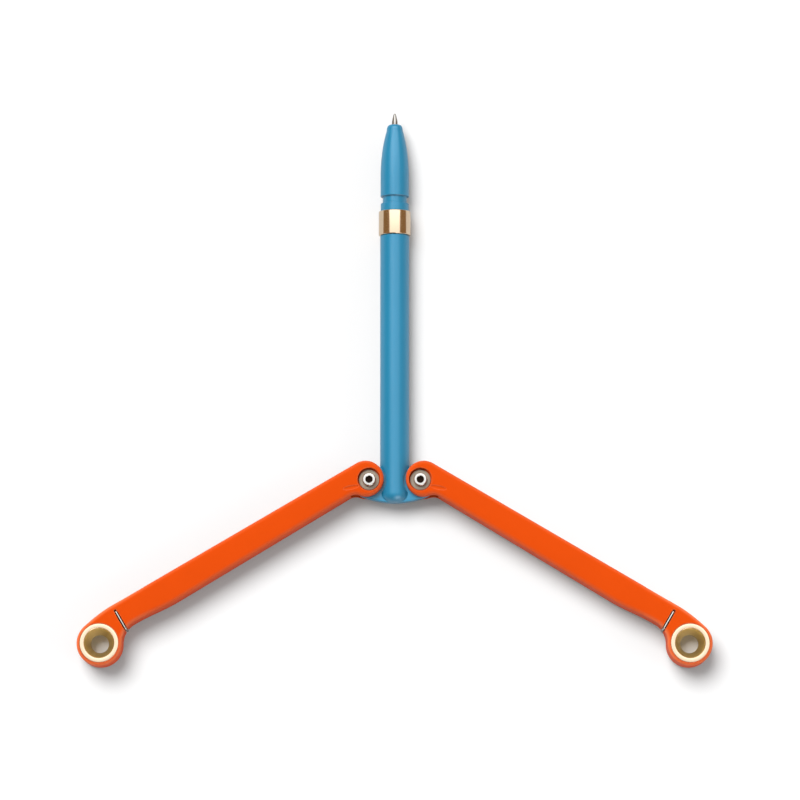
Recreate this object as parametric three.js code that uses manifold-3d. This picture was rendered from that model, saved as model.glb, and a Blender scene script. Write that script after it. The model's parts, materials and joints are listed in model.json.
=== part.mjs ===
// A butterfly pen: a pen whose two handles swing about pivots in a tang at its base.
// Sizes are in millimetres and angles in degrees. The pen points along +Y, and its front faces +Z.
import * as THREE from 'three';
import { mergeVertices } from 'three/addons/utils/BufferGeometryUtils.js';
import Module from 'manifold-3d';

const wasm = await Module();
wasm.setup();

// Clearances
const SEAT_GAP = 0.05;
const RUNNING_GAP = 0.1;
const SWING_GAP = 0.25;
const CHANNEL_GAP = 0.34;

// Pen, lengths counted forward from the line through the pivots
const PIVOT_SPACING = 18.12;
const BARREL_RADIUS = 5.16;
const BARREL_LENGTH = 88.2;
const BARREL_BASE_ROUND = 3.4;
const BAND_RADIUS = 5.75;
const BAND_LENGTH = 8.7;
const BAND_EDGE = 0.25;
const COLLAR_RADIUS = 5.01;
const COLLAR_LENGTH = 2.85;
const GROOVE_RADIUS = 4.26;
const GROOVE_WIDTH = 2.5;
const NOSE_RADIUS = 5.08;
const NOSE_STRAIGHT = 6.3;
const NOSE_TAPER = 17.8;
const NOSE_TAPER_POWER = 2.3;
const NOSE_END_RADIUS = 2.9;
const NOSE_LIP_LENGTH = 2.05;
const NOSE_LIP_RADIUS = 1.9;

// Tang, the flat plate that carries the pivots
const TANG_THICKNESS = 4.4;
const TANG_EYE_RADIUS = 6.1;
const TANG_BASE_DEPTH = 7.85;
const TANG_ROOT = 0.2;

// Inside of the pen
const SPIGOT_RADIUS = 4.3;
const SPIGOT_LENGTH = 18;
const REFILL_RADIUS = 2.9;
const REFILL_LENGTH = 74;
const REFILL_NECK_RADIUS = 1.6;
const REFILL_NECK_LENGTH = 11;
const TIP_RADIUS = 1.15;
const TIP_STRAIGHT = 6;
const TIP_CONE_LENGTH = 4.25;
const BALL_RADIUS = 0.38;
const SPRING_LENGTH = 13;
const SPRING_COIL_RADIUS = 2.2;
const SPRING_WIRE_RADIUS = 0.25;
const SPRING_TURNS = 7;

// Handle, lengths counted along its straight edge from the pivot, and across from the pivot
const HANDLE_THICKNESS = 12.8;
const HANDLE_FILLET = 1.6;
const STRAIGHT_EDGE = 7.33;
const BACK_EDGE = 1.65;
const BACK_SWELL = 0.96;
const BACK_SWELL_LENGTH = 15.7;
const BACK_SWELL_TO_RING = 1.0;
const EYE_RADIUS = 6.35;
const EYE_SHIFT = 0.8;
const EYE_BLEND = 4.0;
const RING_BEYOND_WIRE = 10.6;
const RING_OFFSET = -1.96;
const RING_WALL = 1.07;
const RING_BLEND = 8.0;
const EDGE_TURN_LENGTH = 10.2;
const FORK_DEPTH = 8.6;
const CLOSED_TILT = 0.6;
const SPLAY = 30.4;
const SCOOP_LENGTH = 5.8;
const SCOOP_WIDTH = 1.5;
const SCOOP_DEPTH = 0.3;
const SCOOP_REACH = 7.0;
const SCOOP_OFFSET = 0.65;
const SCOOP_ANGLE = 19;

// Pivot, a screw that closes on a barrel nut
const COUNTERBORE_RADIUS = 4.05;
const COUNTERBORE_DEPTH = 2.4;
const WASHER_RADIUS = 3.6;
const WASHER_THICKNESS = 0.4;
const HEAD_RADIUS = 2.3;
const HEAD_SINK = 0.1;
const HEAD_CHAMFER = 0.3;
const SOCKET_RADIUS = 1.35;
const SOCKET_DEPTH = 1.2;
const PIVOT_RADIUS = 1.75;
const SHANK_RADIUS = 1.0;
const SHANK_LENGTH = 7;
const THRUST_WASHER_RADIUS = 4.6;
const THRUST_WASHER_THICKNESS = 0.4;

// Ring weight in the end of a handle
const RING_RADIUS = 6.85;
const RING_SINK = 0.2;
const RING_MOUTH_RADIUS = 5.3;
const RING_THROAT_RADIUS = 3.15;
const RING_THROAT_LENGTH = 1.2;

// Wire clip, which drops into the groove of the nose when the handle is closed
const WIRE_RADIUS = 0.375;
const WIRE_BEND = 0.6;
const WIRE_SINK = 0.05;
const WIRE_PROUD = 0.2;
const WIRE_GROOVE_GAP = 0.25;
const WIRE_SLOT_GAP = 0.225;
const WIRE_TIP_GAP = 1.0;
const WIRE_REACH_IN = 0.15;

// Places worked out from the sizes
const pivotX = PIVOT_SPACING / 2;
const bandRear = BARREL_LENGTH;
const bandFront = bandRear + BAND_LENGTH;
const grooveRear = bandFront + COLLAR_LENGTH;
const grooveFront = grooveRear + GROOVE_WIDTH;
const noseShoulder = grooveFront + NOSE_STRAIGHT;
const noseEnd = noseShoulder + NOSE_TAPER;
const noseFront = noseEnd + NOSE_LIP_LENGTH;
const tipRear = noseFront - TIP_STRAIGHT;
const refillFront = tipRear - REFILL_NECK_LENGTH;
const refillRear = refillFront - REFILL_LENGTH;
const boreEnd = refillRear - SPRING_LENGTH;
const halfHandle = HANDLE_THICKNESS / 2;
const halfTang = TANG_THICKNESS / 2;
const forkHalf = halfTang + THRUST_WASHER_THICKNESS + 2 * SEAT_GAP;
const earRelief = BARREL_RADIUS + SWING_GAP;
const tangSide = Math.sqrt(BARREL_RADIUS ** 2 - halfTang ** 2) - TANG_ROOT;
const bossRadius = EYE_RADIUS - 2 * SWING_GAP;
const pocketRadius = bossRadius + SWING_GAP;
const pivotHole = PIVOT_RADIUS + RUNNING_GAP;
const counterboreFloor = halfHandle - COUNTERBORE_DEPTH;
const headSeat = counterboreFloor + WASHER_THICKNESS + 2 * SEAT_GAP;
const headTop = halfHandle - HEAD_SINK;
const eyeOffset = STRAIGHT_EDGE - EYE_RADIUS;
const closedTilt = THREE.MathUtils.degToRad(CLOSED_TILT);
const wireReach = grooveRear + WIRE_RADIUS + WIRE_GROOVE_GAP;
const wireTip = pivotX / Math.cos(closedTilt) + wireReach * Math.tan(closedTilt)
  - NOSE_RADIUS + WIRE_REACH_IN - WIRE_RADIUS;
const wireLeg = halfHandle - WIRE_SINK - WIRE_RADIUS;
const ringReach = wireReach + RING_BEYOND_WIRE;
const ringEndRadius = RING_RADIUS + SEAT_GAP + RING_WALL;
const ringBlendB = -BACK_EDGE - RING_BLEND;
const ringBlendReach = ringEndRadius + RING_BLEND;
const ringBlendA = ringReach - Math.sqrt(ringBlendReach ** 2 - (ringBlendB - RING_OFFSET) ** 2);
const backAtWire = ringBlendB + Math.sqrt(RING_BLEND ** 2 - (wireReach - ringBlendA) ** 2);
const wireBack = backAtWire - WIRE_PROUD + WIRE_RADIUS;
const swellEnd = ringBlendA - BACK_SWELL_TO_RING;
const swellStart = swellEnd - BACK_SWELL_LENGTH;

// Facets
const ROUND = 34;
const SMALL_ROUND = 20;
const TINY_ROUND = 12;
const ARC_FACETS = 6;
const BASE_FACETS = 5;
const TAPER_FACETS = 9;
const LIP_FACETS = 3;
const BALL_FACETS = 4;
const FILLET_FACETS = 3;
const SCOOP_FACETS = 12;
const COIL_FACETS = 8;
const CLIP_FACETS = 36;
const WIRE_SIDES = 3;

// A closed solid from a three.js geometry, with its shared corners merged
function solid(geometry) {
  const bare = new THREE.BufferGeometry();
  bare.setAttribute('position', geometry.getAttribute('position').clone());
  if (geometry.index) bare.setIndex(geometry.index.clone());
  const merged = mergeVertices(bare, 1e-5);
  const index = merged.index.array;
  const corners = [];
  for (let i = 0; i < index.length; i += 3) {
    const [a, b, c] = [index[i], index[i + 1], index[i + 2]];
    if (a !== b && b !== c && c !== a) corners.push(a, b, c);
  }
  return new wasm.Manifold(new wasm.Mesh({
    numProp: 3,
    vertProperties: new Float32Array(merged.getAttribute('position').array),
    triVerts: new Uint32Array(corners),
  }));
}

// A named mesh from a solid
function piece(name, body, material) {
  const mesh = body.getMesh();
  const geometry = new THREE.BufferGeometry();
  geometry.setAttribute('position', new THREE.BufferAttribute(mesh.vertProperties, 3));
  geometry.setIndex(new THREE.BufferAttribute(mesh.triVerts, 1));
  geometry.computeVertexNormals();
  const result = new THREE.Mesh(geometry, material);
  result.name = name;
  return result;
}

// A solid turned about the Y axis from [radius, y] pairs that run round the section
function turned(section, segments = ROUND) {
  const points = section.map(([radius, y]) => new THREE.Vector2(radius, y));
  if (THREE.ShapeUtils.area(points) < 0) points.reverse();
  points.push(points[0].clone());
  return solid(new THREE.LatheGeometry(points, segments));
}

// A plain disc or tube about the Z axis through (x, y), from z0 to z1
function discZ(radius, z0, z1, x = 0, y = 0, segments = SMALL_ROUND) {
  const geometry = new THREE.CylinderGeometry(radius, radius, z1 - z0, segments);
  geometry.rotateX(Math.PI / 2);
  geometry.translate(x, y, (z0 + z1) / 2);
  return solid(geometry);
}

// A block between two corners
function block(low, high) {
  const size = high.map((value, i) => value - low[i]);
  const geometry = new THREE.BoxGeometry(...size);
  geometry.translate(...high.map((value, i) => (value + low[i]) / 2));
  return solid(geometry);
}

// A solid turned about the Z axis from [radius, z] pairs
function turnedZ(section, segments = SMALL_ROUND) {
  const points = section.map(([radius, z]) => new THREE.Vector2(radius, z));
  if (THREE.ShapeUtils.area(points) < 0) points.reverse();
  points.push(points[0].clone());
  const geometry = new THREE.LatheGeometry(points, segments);
  geometry.rotateX(Math.PI / 2);
  return solid(geometry);
}

// A round wire along a path
function wire(path, radius, steps) {
  const section = new THREE.Shape();
  section.absarc(0, 0, radius, 0, 2 * Math.PI);
  return solid(new THREE.ExtrudeGeometry(section, { extrudePath: path, steps, curveSegments: WIRE_SIDES }));
}

// Points of a quarter ellipse from angle 0 to 90 degrees, as [cos, sin] pairs
function quarter(steps) {
  return Array.from({ length: steps + 1 }, (_, i) => {
    const angle = (i / steps) * Math.PI / 2;
    return [Math.cos(angle), Math.sin(angle)];
  });
}

// Plate of the tang: an eye round each pivot, joined below by one arc that is tangent to both
function tangPlate() {
  const rise = TANG_BASE_DEPTH - TANG_EYE_RADIUS;
  const arcCentre = (pivotX ** 2 - rise ** 2) / (2 * rise);
  const arcRadius = arcCentre + TANG_BASE_DEPTH;
  const tangent = Math.atan2(-arcCentre, pivotX);
  const hidden = Math.acos((tangSide - pivotX) / TANG_EYE_RADIUS);
  const outline = new THREE.Shape();
  outline.absarc(pivotX, 0, TANG_EYE_RADIUS, hidden, tangent, true);
  outline.absarc(0, arcCentre, arcRadius, tangent, -Math.PI - tangent, true);
  outline.absarc(-pivotX, 0, TANG_EYE_RADIUS, Math.PI - tangent, Math.PI - hidden, true);
  const geometry = new THREE.ExtrudeGeometry(outline, {
    depth: TANG_THICKNESS, bevelEnabled: false, curveSegments: 2 * ARC_FACETS,
  });
  geometry.translate(0, 0, -halfTang);
  return solid(geometry);
}

// Barrel: a round tube with a rounded base, joined to the tang and hollowed beside it for the ears
function barrel() {
  const base = -TANG_BASE_DEPTH;
  const round = quarter(BASE_FACETS).map(([across, along]) => [
    BARREL_RADIUS - BARREL_BASE_ROUND * (1 - along),
    base + BARREL_BASE_ROUND * (1 - across),
  ]);
  let body = turned([[0, base], ...round, [BARREL_RADIUS, BARREL_LENGTH - SEAT_GAP],
    [0, BARREL_LENGTH - SEAT_GAP]]).add(tangPlate());
  for (const side of [-1, 1]) {
    for (const face of [-1, 1]) {
      const depths = [face * halfTang, face * 2 * BARREL_RADIUS].sort((a, b) => a - b);
      body = body.subtract(discZ(pocketRadius, ...depths, side * pivotX, 0, ROUND));
    }
    body = body.subtract(discZ(pivotHole, -TANG_THICKNESS, TANG_THICKNESS, side * pivotX));
  }
  const spigotBore = SPIGOT_RADIUS + RUNNING_GAP;
  const refillBore = REFILL_RADIUS + RUNNING_GAP;
  return body.subtract(turned([
    [0, boreEnd - SEAT_GAP], [refillBore, boreEnd - SEAT_GAP],
    [refillBore, bandFront - SPIGOT_LENGTH - SEAT_GAP], [spigotBore, bandFront - SPIGOT_LENGTH - SEAT_GAP],
    [spigotBore, BARREL_LENGTH + 1], [0, BARREL_LENGTH + 1],
  ]));
}

// Nose: a tapered cone, the groove for the wire clips, a collar, and the spigot that screws into the barrel
function noseCone() {
  const taper = Array.from({ length: TAPER_FACETS + 1 }, (_, i) => {
    const part = i / TAPER_FACETS;
    const drop = (NOSE_RADIUS - NOSE_END_RADIUS) * part ** NOSE_TAPER_POWER;
    return [NOSE_RADIUS - drop, noseShoulder + NOSE_TAPER * part];
  });
  const lip = quarter(LIP_FACETS).slice(1).map(([across, along]) => [
    NOSE_LIP_RADIUS + (NOSE_END_RADIUS - NOSE_LIP_RADIUS) * across,
    noseEnd + NOSE_LIP_LENGTH * along,
  ]);
  const spigotRear = bandFront - SPIGOT_LENGTH;
  const refillBore = REFILL_RADIUS + RUNNING_GAP;
  const neckBore = REFILL_NECK_RADIUS + RUNNING_GAP;
  const tipBore = TIP_RADIUS + RUNNING_GAP;
  return turned([
    [SPIGOT_RADIUS, spigotRear], [SPIGOT_RADIUS, bandFront], [COLLAR_RADIUS, bandFront],
    [COLLAR_RADIUS, grooveRear], [GROOVE_RADIUS, grooveRear], [GROOVE_RADIUS, grooveFront],
    [NOSE_RADIUS, grooveFront], ...taper, ...lip,
    [tipBore, noseFront], [tipBore, tipRear + SEAT_GAP], [neckBore, tipRear + SEAT_GAP],
    [neckBore, refillFront + SEAT_GAP], [refillBore, refillFront + SEAT_GAP], [refillBore, spigotRear],
  ]);
}

// Brass band, clamped between the barrel and the collar
function brassBand() {
  const bore = SPIGOT_RADIUS + RUNNING_GAP;
  const front = bandFront - SEAT_GAP;
  return turned([
    [bore, bandRear], [BAND_RADIUS - BAND_EDGE, bandRear], [BAND_RADIUS, bandRear + BAND_EDGE],
    [BAND_RADIUS, front - BAND_EDGE], [BAND_RADIUS - BAND_EDGE, front], [bore, front],
  ]);
}

// Refill: the ink tube with its narrower neck
function refillTube() {
  return turned([
    [0, refillRear], [REFILL_RADIUS, refillRear], [REFILL_RADIUS, refillFront],
    [REFILL_NECK_RADIUS, refillFront], [REFILL_NECK_RADIUS, tipRear - SEAT_GAP], [0, tipRear - SEAT_GAP],
  ], SMALL_ROUND);
}

// Writing tip: a short tube, a cone, and the ball at its end
function refillTip() {
  const coneEnd = noseFront + TIP_CONE_LENGTH - BALL_RADIUS;
  const ball = quarter(BALL_FACETS).map(([across, along]) => [
    BALL_RADIUS * across, coneEnd + BALL_RADIUS * along,
  ]);
  return turned([[0, tipRear], [TIP_RADIUS, tipRear], [TIP_RADIUS, noseFront], ...ball], SMALL_ROUND);
}

// Spring behind the refill
function refillSpring() {
  const wireRoom = SPRING_WIRE_RADIUS + SEAT_GAP;
  class Helix extends THREE.Curve {
    getPoint(t, target = new THREE.Vector3()) {
      const angle = 2 * Math.PI * SPRING_TURNS * t;
      return target.set(
        SPRING_COIL_RADIUS * Math.cos(angle),
        boreEnd + wireRoom + (SPRING_LENGTH - 2 * wireRoom) * t,
        SPRING_COIL_RADIUS * Math.sin(angle),
      );
    }
  }
  return wire(new Helix(), SPRING_WIRE_RADIUS, SPRING_TURNS * COIL_FACETS);
}

// Outline of a handle: a straight edge, the eye round the pivot, a slightly swollen back and the ring end
function handleOutline() {
  const turnStart = ringReach - EDGE_TURN_LENGTH;
  const turn = new THREE.Vector2(ringReach - EDGE_TURN_LENGTH / 2, STRAIGHT_EDGE);
  const toTurn = new THREE.Vector2(turn.x - ringReach, turn.y - RING_OFFSET);
  const ringTop = toTurn.angle() - Math.acos(ringEndRadius / toTurn.length());
  const ringFoot = Math.atan2(ringBlendB - RING_OFFSET, ringBlendA - ringReach);
  const eyeBlendB = -BACK_EDGE - EYE_BLEND;
  const eyeBlendA = EYE_SHIFT + Math.sqrt((EYE_RADIUS + EYE_BLEND) ** 2 - (eyeBlendB - eyeOffset) ** 2);
  const eyeFoot = Math.atan2(eyeBlendB - eyeOffset, eyeBlendA - EYE_SHIFT);
  const middle = (swellStart + swellEnd) / 2;
  const swellTop = -BACK_EDGE - BACK_SWELL;

  const outline = new THREE.Shape();
  outline.moveTo(EYE_SHIFT, STRAIGHT_EDGE);
  outline.lineTo(turnStart, STRAIGHT_EDGE);
  outline.quadraticCurveTo(turn.x, turn.y,
    ringReach + ringEndRadius * Math.cos(ringTop), RING_OFFSET + ringEndRadius * Math.sin(ringTop));
  outline.absarc(ringReach, RING_OFFSET, ringEndRadius, ringTop, 0, true);
  outline.absarc(ringReach, RING_OFFSET, ringEndRadius, 0, ringFoot, true);
  outline.absarc(ringBlendA, ringBlendB, RING_BLEND, ringFoot + Math.PI, Math.PI / 2, false);
  outline.lineTo(swellEnd, -BACK_EDGE);
  outline.bezierCurveTo(middle, -BACK_EDGE, middle, swellTop, swellStart, swellTop);
  outline.lineTo(eyeBlendA, -BACK_EDGE);
  outline.absarc(eyeBlendA, eyeBlendB, EYE_BLEND, Math.PI / 2, eyeFoot + Math.PI, false);
  outline.absarc(EYE_SHIFT, eyeOffset, EYE_RADIUS, eyeFoot, -Math.PI, true);
  outline.absarc(EYE_SHIFT, eyeOffset, EYE_RADIUS, -Math.PI, -1.5 * Math.PI, true);
  return outline;
}

// Room for the closed pen, seen from the handle
function penChannel() {
  const radius = BARREL_RADIUS + CHANNEL_GAP;
  const bandRoom = BAND_RADIUS + CHANNEL_GAP;
  const start = -TANG_BASE_DEPTH - BARREL_RADIUS;
  const end = ringReach + 2 * ringEndRadius;
  const geometry = new THREE.LatheGeometry([
    [0, start], [radius, start], [radius, bandRear - CHANNEL_GAP], [bandRoom, bandRear - CHANNEL_GAP],
    [bandRoom, bandFront + CHANNEL_GAP], [radius, bandFront + CHANNEL_GAP], [radius, end], [0, end],
  ].map(([r, y]) => new THREE.Vector2(r, y)), ROUND);
  geometry.translate(-pivotX, 0, 0);
  geometry.rotateZ(closedTilt - Math.PI / 2);
  return solid(geometry);
}

// Slots, back groove and holes that hold a wire clip
function wireSlots() {
  const half = WIRE_RADIUS + WIRE_SLOT_GAP;
  const floor = wireLeg - WIRE_RADIUS - RUNNING_GAP;
  const grooveFloor = wireBack + WIRE_RADIUS + RUNNING_GAP;
  const outside = wireBack - HANDLE_THICKNESS;
  const reach = [wireReach - half, wireReach + half];
  let cut = block([reach[0], outside, -2 * halfHandle], [reach[1], grooveFloor, 2 * halfHandle]);
  for (const face of [-1, 1]) {
    const depths = [face * floor, face * 2 * halfHandle].sort((a, b) => a - b);
    cut = cut.add(block([reach[0], outside, depths[0]], [reach[1], wireTip, depths[1]]));
    const holeDepths = [0, face * 2 * halfHandle].sort((a, b) => a - b);
    cut = cut.add(discZ(half, ...holeDepths, wireReach, wireTip, TINY_ROUND));
  }
  return cut;
}

// Handle in its own frame: the pivot at the origin, X along the straight edge, Y towards the closed pen
function handle() {
  const geometry = new THREE.ExtrudeGeometry(handleOutline(), {
    depth: HANDLE_THICKNESS - 2 * HANDLE_FILLET, bevelThickness: HANDLE_FILLET, bevelSize: HANDLE_FILLET,
    bevelOffset: -HANDLE_FILLET, bevelSegments: FILLET_FACETS, curveSegments: ARC_FACETS,
  });
  geometry.translate(0, 0, HANDLE_FILLET - halfHandle);
  let body = solid(geometry);
  const boss = discZ(bossRadius, -halfHandle, halfHandle, 0, 0, ROUND);
  const relief = block([-2 * EYE_RADIUS, -BACK_EDGE, -earRelief], [0, 2 * STRAIGHT_EDGE, earRelief]);
  body = body.subtract(penChannel().add(relief).subtract(boss));
  body = body.subtract(discZ(FORK_DEPTH, -forkHalf, forkHalf, 0, 0, ROUND));
  body = body.subtract(discZ(pivotHole, -halfHandle, halfHandle));
  body = body.subtract(discZ(RING_RADIUS + SEAT_GAP, -HANDLE_THICKNESS, HANDLE_THICKNESS,
    ringReach, RING_OFFSET, ROUND));
  for (const face of [-1, 1]) {
    const depths = [face * counterboreFloor, face * HANDLE_THICKNESS].sort((a, b) => a - b);
    body = body.subtract(discZ(COUNTERBORE_RADIUS, ...depths, 0, 0, ROUND));
    body = body.subtract(scoop(face));
  }
  return body.subtract(wireSlots());
}

// Shallow scoop in a face of the handle, beside the counterbore
function scoop(face) {
  const geometry = new THREE.SphereGeometry(1, SCOOP_FACETS, SCOOP_FACETS / 2);
  geometry.scale(SCOOP_LENGTH / 2, SCOOP_WIDTH / 2, SCOOP_DEPTH);
  geometry.rotateZ(THREE.MathUtils.degToRad(SCOOP_ANGLE));
  geometry.translate(SCOOP_REACH, SCOOP_OFFSET, face * halfHandle);
  return solid(geometry);
}

// Brass ring pressed in the end of a handle, countersunk from both faces
function ringWeight() {
  const face = halfHandle - RING_SINK;
  const throat = RING_THROAT_LENGTH / 2;
  return turnedZ([
    [RING_RADIUS, -face], [RING_RADIUS, face], [RING_MOUTH_RADIUS, face], [RING_THROAT_RADIUS, throat],
    [RING_THROAT_RADIUS, -throat], [RING_MOUTH_RADIUS, -face],
  ], ROUND);
}

// Wire clip: a leg in each face, a back that goes round the edge, and tips bent into the pen channel
function wireClip() {
  const corners = [
    [wireTip, WIRE_TIP_GAP / 2], [wireTip, wireLeg], [wireBack, wireLeg],
    [wireBack, -wireLeg], [wireTip, -wireLeg], [wireTip, -WIRE_TIP_GAP / 2],
  ].map(([b, z]) => new THREE.Vector3(wireReach, b, z));
  const path = new THREE.CurvePath();
  let start = corners[0];
  for (let i = 1; i < corners.length - 1; i += 1) {
    const corner = corners[i];
    const before = corners[i - 1].clone().sub(corner).setLength(WIRE_BEND).add(corner);
    const after = corners[i + 1].clone().sub(corner).setLength(WIRE_BEND).add(corner);
    path.add(new THREE.LineCurve3(start, before));
    path.add(new THREE.QuadraticBezierCurve3(before, corner, after));
    start = after;
  }
  path.add(new THREE.LineCurve3(start, corners.at(-1)));
  return wire(path, WIRE_RADIUS, CLIP_FACETS);
}

// Hexagon socket cut in a head whose top is at headTop
function socket() {
  return discZ(SOCKET_RADIUS, headTop - SOCKET_DEPTH, headTop + 1, 0, 0, 6);
}

// Pivot screw, its head to the front
function pivotScrew() {
  return turnedZ([
    [0, headSeat - SHANK_LENGTH], [SHANK_RADIUS, headSeat - SHANK_LENGTH], [SHANK_RADIUS, headSeat],
    [HEAD_RADIUS, headSeat], [HEAD_RADIUS, headTop - HEAD_CHAMFER], [HEAD_RADIUS - HEAD_CHAMFER, headTop],
    [0, headTop],
  ]).subtract(socket());
}

// Barrel nut, the same head with the hollow shaft that the handle turns with, built facing the front
function pivotNut() {
  const shaftEnd = -counterboreFloor;
  const bore = SHANK_RADIUS + RUNNING_GAP;
  const boreStart = SHANK_LENGTH - headSeat + SEAT_GAP;
  return turnedZ([
    [0, boreStart], [bore, boreStart], [bore, shaftEnd], [PIVOT_RADIUS, shaftEnd], [PIVOT_RADIUS, headSeat],
    [HEAD_RADIUS, headSeat], [HEAD_RADIUS, headTop - HEAD_CHAMFER], [HEAD_RADIUS - HEAD_CHAMFER, headTop],
    [0, headTop],
  ]).subtract(socket());
}

// Flat washer between two heights
function washer(radius, low, high) {
  const hole = PIVOT_RADIUS + 2 * RUNNING_GAP;
  return turnedZ([[hole, low], [radius, low], [radius, high], [hole, high]]);
}

const paint = (color, roughness, metalness) => (
  new THREE.MeshStandardMaterial({ color, roughness, metalness })
);
const finishes = {
  blue: () => paint(0x4593bc, 0.5, 0),
  orange: () => paint(0xed5110, 0.5, 0),
  brass: () => paint(0xc9a25e, 0.25, 1),
  steel: () => paint(0xc4c6c8, 0.3, 1),
  bronze: () => paint(0xa87a48, 0.4, 1),
  plastic: () => paint(0xe6e6e2, 0.5, 0),
};

const assembly = new THREE.Group();

function buildPen() {
  const pen = new THREE.Group();
  pen.add(piece('barrel', barrel(), finishes.blue()));
  pen.add(piece('nose_cone', noseCone(), finishes.blue()));
  pen.add(piece('brass_band', brassBand(), finishes.brass()));
  pen.add(piece('refill_tube', refillTube(), finishes.plastic()));
  pen.add(piece('refill_tip', refillTip(), finishes.steel()));
  pen.add(piece('refill_spring', refillSpring(), finishes.steel()));
  const low = halfTang + SEAT_GAP;
  for (const [side, word] of [[-1, 'left'], [1, 'right']]) {
    const front = piece(`${word}_front_thrust_washer`,
      washer(THRUST_WASHER_RADIUS, low, low + THRUST_WASHER_THICKNESS), finishes.bronze());
    const rear = piece(`${word}_rear_thrust_washer`,
      washer(THRUST_WASHER_RADIUS, -low - THRUST_WASHER_THICKNESS, -low), finishes.bronze());
    front.position.x = side * pivotX;
    rear.position.x = side * pivotX;
    pen.add(front, rear);
  }
  return pen;
}

// One handle with what it carries. The left one is the right one turned over.
function buildHandle(side, word) {
  const group = new THREE.Group();
  const moulding = new THREE.Group();
  moulding.rotation.set(0, side < 0 ? Math.PI : 0, -THREE.MathUtils.degToRad(SPLAY));
  moulding.add(piece(`${word}_handle`, handle(), finishes.orange()));
  const ring = piece(`${word}_ring_weight`, ringWeight(), finishes.brass());
  ring.position.set(ringReach, RING_OFFSET, 0);
  moulding.add(ring);
  moulding.add(piece(`${word}_wire_clip`, wireClip(), finishes.steel()));
  group.add(moulding);

  const low = counterboreFloor + SEAT_GAP;
  const high = low + WASHER_THICKNESS;
  group.add(piece(`${word}_pivot_screw`, pivotScrew(), finishes.steel()));
  group.add(piece(`${word}_front_washer`, washer(WASHER_RADIUS, low, high), finishes.steel()));
  const nut = piece(`${word}_pivot_nut`, pivotNut(), finishes.steel());
  nut.rotation.x = Math.PI;
  group.add(nut);
  group.add(piece(`${word}_rear_washer`, washer(WASHER_RADIUS, -high, -low), finishes.steel()));
  group.position.x = side * pivotX;
  return group;
}

assembly.add(buildPen(), buildHandle(-1, 'left'), buildHandle(1, 'right'));

// The origin is the middle of the footprint, at the height of the surface that the pen lies on
const box = new THREE.Box3().setFromObject(assembly, true);
assembly.position.set(-(box.min.x + box.max.x) / 2, -(box.min.y + box.max.y) / 2, -box.min.z);

export default assembly;
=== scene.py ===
"""The looks of a butterfly pen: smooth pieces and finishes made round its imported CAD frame."""

import functools
import json
import math

import bmesh
import bpy
from bpy.props import FloatProperty, FloatVectorProperty, IntProperty, PointerProperty
from mathutils import Matrix, Vector


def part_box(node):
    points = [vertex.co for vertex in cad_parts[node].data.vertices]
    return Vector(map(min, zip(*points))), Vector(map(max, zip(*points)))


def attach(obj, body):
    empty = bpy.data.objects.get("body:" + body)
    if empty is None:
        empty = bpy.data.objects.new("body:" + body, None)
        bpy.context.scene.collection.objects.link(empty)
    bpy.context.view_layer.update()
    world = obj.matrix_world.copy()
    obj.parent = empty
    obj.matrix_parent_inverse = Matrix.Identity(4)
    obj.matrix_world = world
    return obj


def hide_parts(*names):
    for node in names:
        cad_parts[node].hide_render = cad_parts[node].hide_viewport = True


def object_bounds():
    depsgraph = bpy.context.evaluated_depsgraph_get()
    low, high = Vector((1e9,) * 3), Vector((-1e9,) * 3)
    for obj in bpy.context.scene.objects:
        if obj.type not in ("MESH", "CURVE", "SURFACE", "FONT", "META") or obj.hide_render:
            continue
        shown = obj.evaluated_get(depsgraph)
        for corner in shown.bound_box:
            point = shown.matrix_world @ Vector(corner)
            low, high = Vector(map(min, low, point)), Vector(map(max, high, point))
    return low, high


bl_info = {
    "name": "Butterfly Pen",
    "version": (1, 0, 0),
    "blender": (4, 5, 0),
    "location": "3D View > Sidebar > Butterfly Pen",
    "description": "Builds the pen, its swinging handles and its fittings round the CAD frame",
    "category": "Object",
}

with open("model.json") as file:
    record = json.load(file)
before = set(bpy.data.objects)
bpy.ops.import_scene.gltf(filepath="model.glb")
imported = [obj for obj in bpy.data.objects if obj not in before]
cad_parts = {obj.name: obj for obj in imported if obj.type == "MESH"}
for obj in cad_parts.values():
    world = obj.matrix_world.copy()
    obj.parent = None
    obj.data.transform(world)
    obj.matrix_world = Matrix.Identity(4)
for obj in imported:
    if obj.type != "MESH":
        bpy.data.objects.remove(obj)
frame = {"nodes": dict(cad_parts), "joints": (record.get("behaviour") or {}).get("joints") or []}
cad_low, cad_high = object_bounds()

MM = 0.001
SIDES = {"left": -1, "right": 1}
FACES = {"rear": -1, "front": 1}
QUARTER = math.pi / 2
SHARP_ANGLE = math.radians(32)
WELD = 2e-7  # distance in metres over which points are merged
GAP = 0.05 * MM  # room between a piece and the next one

# Places read from the frame
PIVOT = {joint["name"].split("_")[0]: Vector(joint["pos_m"]) for joint in frame["joints"]}
PIVOT_X = PIVOT["right"].x
PIVOT_Y = PIVOT["right"].y
RING_CENTRE = {side: sum(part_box(f"{side}_ring_weight"), Vector()) / 2 for side in SIDES}
MIDDLE_Z = (cad_low.z + cad_high.z) / 2
HANDLE_HALF = (cad_high.z - cad_low.z) / 2
BAND_LOW, BAND_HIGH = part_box("brass_band")
NOSE_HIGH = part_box("nose_cone")[1]
TIP_LOW, TIP_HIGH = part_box("refill_tip")

# Puts a piece that is turned about the Y axis on the pen's own axis, with Y from the pivots
PEN_PLACE = Matrix.Translation((0, PIVOT_Y, MIDDLE_Z))

# The surroundings that gloss mirrors. The panel's places are parts of a unit vector.
PANEL_HALF = (0.60, 0.62)
PANEL_SHIFT = 0.2
PANEL_RISE = 1.9
PANEL_EDGE = (0.7, 1.35)
WALLS = (0.27, 0.165, 0.08)
MIRRORED_FLOOR_LOSS = 0.25

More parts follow.
